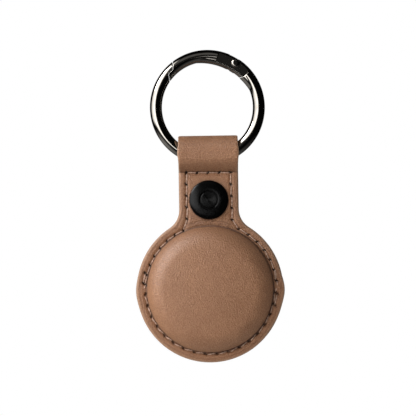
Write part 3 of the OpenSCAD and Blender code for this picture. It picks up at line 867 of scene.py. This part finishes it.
head_low, head_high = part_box("stud_post")
tip_y, head_y = head_low.y / MM, head_high.y / MM
head_r = head_high.x / MM
post = [(0, tip_y), (1.2, tip_y), (1.2, tip_y + 0.28), (1.0, tip_y + 0.3), (1.0, head_y - 0.45)]
head_edge = [(-0.05, -0.45), (0, -0.38), (0, -0.25), (-0.12, -0.12), (-0.45, -0.02), (-0.8, 0)]
head_face = [(2.6, head_y), (2.45, head_y - 0.06), (1.2, head_y - 0.1), (0, head_y - 0.1)]
button_profile = post + [(head_r + out, head_y + up) for out, up in head_edge] + head_face
button = turned("back_button", button_profile, 96)
finished(button, cap_black, "flap", "black_metal", "stud_post")

# %% [markdown]
# ## Ring and gate
# The ring is cast, plated and polished, so its edges are never knife-sharp: a bright line runs along
# each joint of the gate. A bevel chokes on the many short edges where a round wire is cut by a round
# outline, so copies of the CAD solids are remeshed finely and softened, which rounds every edge. The
# points that belong on the wire are then put back exactly on it, which keeps the polish free of
# ripples, and the two faces of the latch are grown a little, because its gap is a hairline.

# %% The wire's exact surface
wire_r = wire_d / 2
ring_r = ring_out_r - wire_r
rivet_low, rivet_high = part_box("gate_rivet")
rivet_x, rivet_z = (rivet_low.x + rivet_high.x) / 2 / MM, (rivet_low.z + rivet_high.z) / 2 / MM
swell_wire_r, swell_depth, past_rivet, swell_reach = 1.55, 0.82, 6, math.radians(44)
swell_turn = math.radians(math.degrees(math.atan2(rivet_z, rivet_x)) + past_rivet)
swell_in = ring_r - wire_r - swell_depth + swell_wire_r
swell_shift = (ring_r ** 2 - swell_in ** 2) / (2 * (swell_in - ring_r * math.cos(swell_reach)))
swell_centre = -swell_shift * np.array([math.cos(swell_turn), math.sin(swell_turn)])
swell_ring_r = swell_in + swell_shift
cheek_r = 5.35
latch_x, latch_z, latch_r, latch_growth = -10.4, 10.2, 3, 0.06


def onto_wire(place, ring_centre, big_r, small_r):
    """Each point's nearest place on a ring of wire, and how far away that is."""
    flat = place[:, [0, 2]] - ring_centre
    reach = np.linalg.norm(flat, axis=1)
    out = flat / np.maximum(reach, 1e-6)[:, None]
    side = np.stack([reach - big_r, place[:, 1]], axis=1)
    length = np.linalg.norm(side, axis=1)
    moved = side / np.maximum(length, 1e-6)[:, None] * small_r
    nearest = np.empty_like(place)
    nearest[:, [0, 2]] = ring_centre + out * (big_r + moved[:, :1])
    nearest[:, 1] = moved[:, 1]
    return nearest, length - small_r


def polished(node, name, body, voxel, cheek):
    """A remeshed copy of a piece of the wire, whose flat cheeks lie this far from the middle."""
    piece = copy_of(node, name)
    apply_modifier(piece, "REMESH", mode="VOXEL", voxel_size=voxel * MM, use_smooth_shade=True)
    before = points_of(piece)[0]
    main, off_main = onto_wire(before, np.zeros(2), ring_r, wire_r)
    swollen_wire, off_swell = onto_wire(before, swell_centre, swell_ring_r, swell_wire_r)
    off = np.minimum(np.abs(off_main), np.abs(off_swell))
    apply_modifier(piece, "SMOOTH", factor=0.5, iterations=5)
    place, facing = points_of(piece)
    drift = np.linalg.norm(place - before, axis=1)
    from_rivet = np.hypot(before[:, 0] - rivet_x, before[:, 2] - rivet_z)
    flat = (from_rivet < cheek_r) & (np.abs(before[:, 1]) > cheek - 0.4 * voxel)
    place[:, 1] = np.where(flat, np.sign(before[:, 1]) * cheek, place[:, 1])
    on_main = (np.abs(off_main) <= np.abs(off_swell))[:, None]
    nearest = np.where(on_main, main, swollen_wire)
    gap = np.linalg.norm(place - nearest, axis=1)
    keep = fades(gap, 0.03, 0.06) * (off < 0.06) * ~flat
    place += (nearest - place) * keep[:, None]
    from_latch = np.hypot(before[:, 0] - latch_x, before[:, 2] - latch_z)
    latch = slope(off, 0.08, 0.3) * (from_latch < latch_r)
    place += facing * latch[:, None] * latch_growth
    move_points(piece, place)
    print(name, "share on the wire:", round(float((keep > 0.5).mean()), 2),
          "largest drift in mm:", round(float(drift.max()), 3))
    return finished(piece, plating, body, "ring_metal", node)


polished("ring_body", "ring_wire", "ring", 0.12, 2.0)
polished("ring_gate", "spring_gate", "gate", 0.07, 1.4)


# %% [markdown]
# ## Rivet
# The rivet's heads are closed by a press, so each is a shallow dome with a rounded rim. Plain discs
# would do from afar, but a turned profile gives the small bright crescent that the photograph shows.

# %% Rivet
head_tall, shank_r = 0.5, 0.64
rivet_half = rivet_high.y / MM - head_tall
head = [(0.0, 0.40), (0.4, 0.40), (0.7, 0.395), (0.82, 0.38), (0.95, 0.33), (1.06, 0.25), (1.14, 0.15),
        (1.18, 0.04), (1.18, 0.0)]
rivet_profile = ([(r, -rivet_half - h) for r, h in head]
                 + [(shank_r, -rivet_half), (shank_r, rivet_half)]
                 + [(r, rivet_half + h) for r, h in reversed(head)])
rivet = turned("gate_pin", rivet_profile, 48, rivet_x, rivet_z)
finished(rivet, plating, "gate", "rivet_metal", "gate_rivet")


# %% [markdown]
# ## Inner snap parts
# These are stamped steel and show only when the flap is open. Turning each one again would add nothing
# that is seen, so they are copies of the CAD solids with their sharp edges eased by a bevel.


# %% Inner snap parts with eased edges
def eased(node, name, width, finish, body, slot):
    piece = copy_of(node, name)
    apply_modifier(piece, "BEVEL", width=width * MM, segments=2, limit_method="ANGLE",
                   angle_limit=math.radians(32), use_clamp_overlap=True)
    only(piece)
    bpy.ops.object.shade_smooth_by_angle(angle=math.radians(40))
    return finished(piece, finish, body, slot, node)


eased("snap_socket", "socket_cup", 0.08, snap_steel, "holder", "snap_metal")
eased("snap_stud", "stud_cup", 0.06, snap_steel, "flap", "snap_metal")
eased("cap_post", "cap_tube", 0.05, snap_steel, "holder", "snap_metal")

# %% [markdown]
# ## The gate's coil spring
# The coil sits in the gate's bore and is pressed by the plunger. It is a round wire swept along its
# own axis by a Screw. A stiff coil would be cut by the moving plunger.

# %% Coil spring
plunger_turn = math.radians(163)
along = Vector((math.cos(plunger_turn), 0, math.sin(plunger_turn)))
rivet_at = Vector((rivet_x, 0, rivet_z))
coil_wire, coil_r, coil_turns, coil_start, coil_end = 0.22, 0.59, 6, 5.05, 8.35
bpy.ops.object.select_all(action="DESELECT")
bpy.ops.mesh.primitive_circle_add(vertices=10, radius=coil_wire / 2 * MM)
coil = bpy.context.object
coil.name = "coil_spring"
bpy.ops.object.mode_set(mode="EDIT")
bpy.ops.transform.rotate(value=math.pi / 2, orient_axis="X", center_override=(0, 0, 0))
bpy.ops.transform.translate(value=(coil_r * MM, 0, 0))
bpy.ops.object.mode_set(mode="OBJECT")
coil_pitch = (coil_end - coil_start - coil_wire) / coil_turns
apply_modifier(coil, "SCREW", screw_offset=coil_pitch * MM, iterations=coil_turns, steps=20,
               render_steps=20)
close_ends(coil)
first = rivet_at + along * (coil_start + coil_wire / 2)
turned_along = along.to_track_quat("Z", "Y").to_matrix().to_4x4()
coil.data.transform(Matrix.Translation(first * MM) @ turned_along)
finished(coil, bright_steel, None, "bright_steel", "gate_spring")
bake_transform(coil)

# %% [markdown]
# ## Small steel pieces
# The plunger and the socket's spring hardly show, so they keep their CAD meshes and only get a finish.

# %% Finishes of the small CAD pieces inside
for node in ("gate_plunger", "socket_spring"):
    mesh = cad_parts[node].data
    mesh.materials.clear()
    mesh.materials.append(bright_steel.material)
print("inner steel pieces: 2")

# %% [markdown]
# ## Floor
# The photograph shows the holder on plain white. A pale floor lies under it and takes its shadow, and
# fades into the white behind before its edge. A curved backdrop could hide that edge too, but it would
# stand in the light of the lamp behind.


# %% Floor
bpy.ops.object.select_all(action="DESELECT")
bpy.ops.mesh.primitive_plane_add(size=1.1, location=(0, 0, -0.3))
floor = bpy.context.object
floor.name = "pale_floor"
paper = Finish("pale_paper", Roughness=0.9)
paper.feed("Base Color", srgb(236, 236, 234))
bright = paper.node("ShaderNodeEmission", None, {"Color": (1, 1, 1, 1), "Strength": 1.0})
x, y, z = paper.axes()
away = ((x * x + y * y) ** 0.5).rise(150, 500)
seen = paper.node("ShaderNodeLightPath", None, None, "Is Camera Ray")
surface = paper.node("ShaderNodeMixShader", None,
                     {0: away * seen, 1: Value(paper, paper.shader.outputs[0]), 2: bright})
output = paper.tree.nodes["Material Output"]
paper.give(output.inputs["Surface"], surface)
floor.data.materials.append(paper.material)
floor.visible_glossy = False
print("floor at z in metres:", round(floor.location.z, 3))


# %% [markdown]
# ## What the metal sees
# The ring is a dark mirror, so its look is the studio's layout: a tall soft window from beside the
# camera round to the left, a faint light over the camera and a fainter spot straight ahead, a dim floor
# that is lighter to the left, white behind, and black elsewhere. Cards could be stood round it, but
# drawing them by direction keeps them in place. Angles are in degrees, to the left and upwards.

# %% World
world = bpy.data.worlds.new("studio")
bpy.context.scene.world = world
world.use_nodes = True
# A world has no surface shader, so only a finish's ways to add nodes are taken
studio = Finish.__new__(Finish)
studio.tree = world.node_tree
studio.tree.nodes.clear()
split = studio.tree.nodes.new("ShaderNodeSeparateXYZ")
studio.give(split.inputs[0], studio.node("ShaderNodeTexCoord", output="Generated"))
east, north, up = [Value(studio, split.outputs[i]) for i in range(3)]
turn = studio.maths("ARCTAN2", 0 - east, 0 - north) * (180 / math.pi)
tilt = studio.maths("ARCSINE", up) * (180 / math.pi)
window = (turn - tilt * 0.8).rise(4, 14) * (1 - turn.rise(74, 94))
window = window * tilt.rise(-16, -7) * (1 - tilt.rise(48, 60))
window = window * (0.5 + 0.5 * (1 - turn.rise(20, 90)))
over = (1 - abs(turn - 15).rise(20, 36)) * tilt.rise(12, 30) * (1 - tilt.rise(48, 66))
below = (1 - tilt.rise(-60, -24)) * 0.18
below = below + (1 - tilt.rise(-34, -18)) * (0 - east).rise(0.4, 0.85) * 0.65
ahead = (1 - abs(turn - 1).rise(2, 7)) * (1 - abs(tilt - 5).rise(2, 8))
mirrored = 0.004 + ahead * 0.05 + window * 6 + over * 0.3 + below + north.rise(0.8, 0.95) * 1.0
glossy = studio.node("ShaderNodeLightPath", None, None, "Is Glossy Ray")
seen = studio.node("ShaderNodeLightPath", None, None, "Is Camera Ray")
strength = glossy * mirrored + (1 - glossy) * 0.28 + seen * 0.72
light = studio.node("ShaderNodeBackground", None, {"Color": (1, 1, 1, 1), "Strength": strength})
out = studio.tree.nodes.new("ShaderNodeOutputWorld")
studio.give(out.inputs[0], light)
print("studio drawn by direction")


# %% [markdown]
# ## Lamps
# The holder is lit softly from the upper left. A large lamp stands far to the left, and weak ones
# behind and in front lift the shadows. None of them shows in glossy surfaces, where the world is drawn
# instead, except a small lamp for these alone, which draws the pale sheen on the leather.


# %% Lamps
def soft_lamp(name, place, aim, width, height, power):
    lamp = bpy.data.lights.new(name, "AREA")
    lamp.shape = "RECTANGLE"
    lamp.size, lamp.size_y = width, height
    lamp.energy = power
    obj = bpy.data.objects.new(name, lamp)
    bpy.context.scene.collection.objects.link(obj)
    obj.location = place
    obj.rotation_euler = (Vector(aim) - Vector(place)).to_track_quat("-Z", "Y").to_euler()
    obj.visible_glossy = False
    return obj


soft_lamp("key_lamp", (-0.8, -0.3, 0.3), (0, 0, -0.03), 0.63, 0.9, 7.9)
soft_lamp("back_lamp", (0.3, 0.55, 0.3), (0, 0, -0.04), 0.3, 0.3, 1.6)
soft_lamp("front_lamp", (-0.22, -0.6, 0.12), (0, 0, -0.04), 0.3, 0.3, 1.15)
sheen_lamp = soft_lamp("sheen_lamp", (-0.45, -0.22, 0.32), (0, 0, -0.04), 0.26, 0.26, 5)
sheen_lamp.visible_glossy = True
sheen_lamp.visible_diffuse = False
print("lamps:", len(bpy.data.lights))

# %% [markdown]
# ## Camera
# The camera stands straight in front with a long lens, because the photograph shows hardly any
# perspective. A wide lens from close by would make the dome bulge. It is rolled by less than a degree,
# as the holder leans in the picture.

# %% Camera
camera_data = bpy.data.cameras.new("camera")
camera = bpy.data.objects.new("camera", camera_data)
bpy.context.scene.collection.objects.link(camera)
distance, seen_width, roll, sensor = 0.62, 0.1156, 0.89, 36
camera.location = (-0.00026, -distance, -0.02795)
camera.rotation_euler = (math.radians(90), math.radians(roll), 0)
camera_data.sensor_width = sensor
camera_data.lens = sensor * distance / seen_width
camera_data.clip_start = 0.01
bpy.context.scene.camera = camera
bpy.context.scene.view_settings.view_transform = "Standard"
print("lens in mm:", round(camera_data.lens, 1))

# %% Finish
print("scene built")
